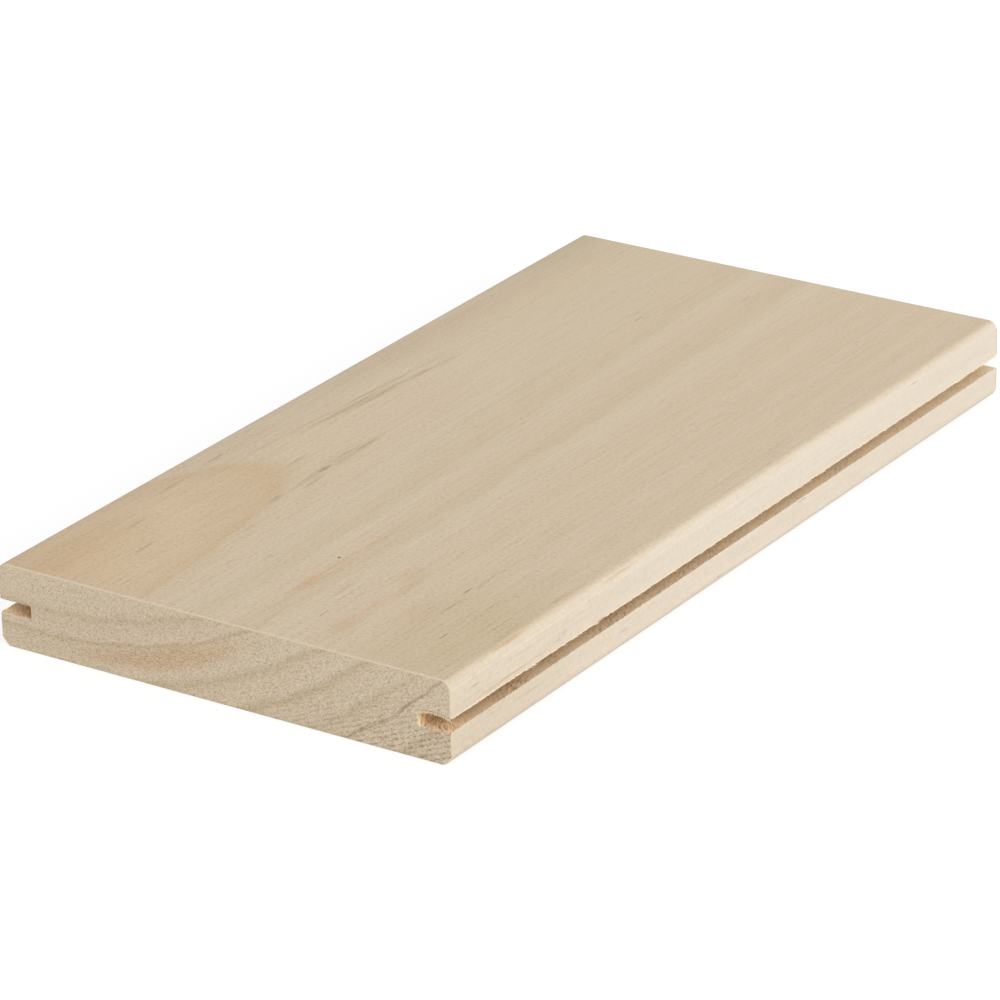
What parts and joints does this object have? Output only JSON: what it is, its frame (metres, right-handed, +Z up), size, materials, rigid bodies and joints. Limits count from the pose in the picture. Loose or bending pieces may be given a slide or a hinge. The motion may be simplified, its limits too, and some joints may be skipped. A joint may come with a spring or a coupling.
{
  "type": "grooved decking board",
  "caption": "Short flat decking plank of planed pale softwood, with rounded long edges and a narrow groove along each long side for hidden fixing clips.",
  "frame": {"origin": "middle of the board's underside", "axes": "+X across the board, +Y along its length and grain, +Z up through the walking face"},
  "size_m": [0.145, 0.285, 0.024],
  "materials": {
    "pine": "planed and unsealed, ends sawn"
  },
  "bodies": {
    "root": {"decking_board": "pine"}
  },
  "joints": []
}
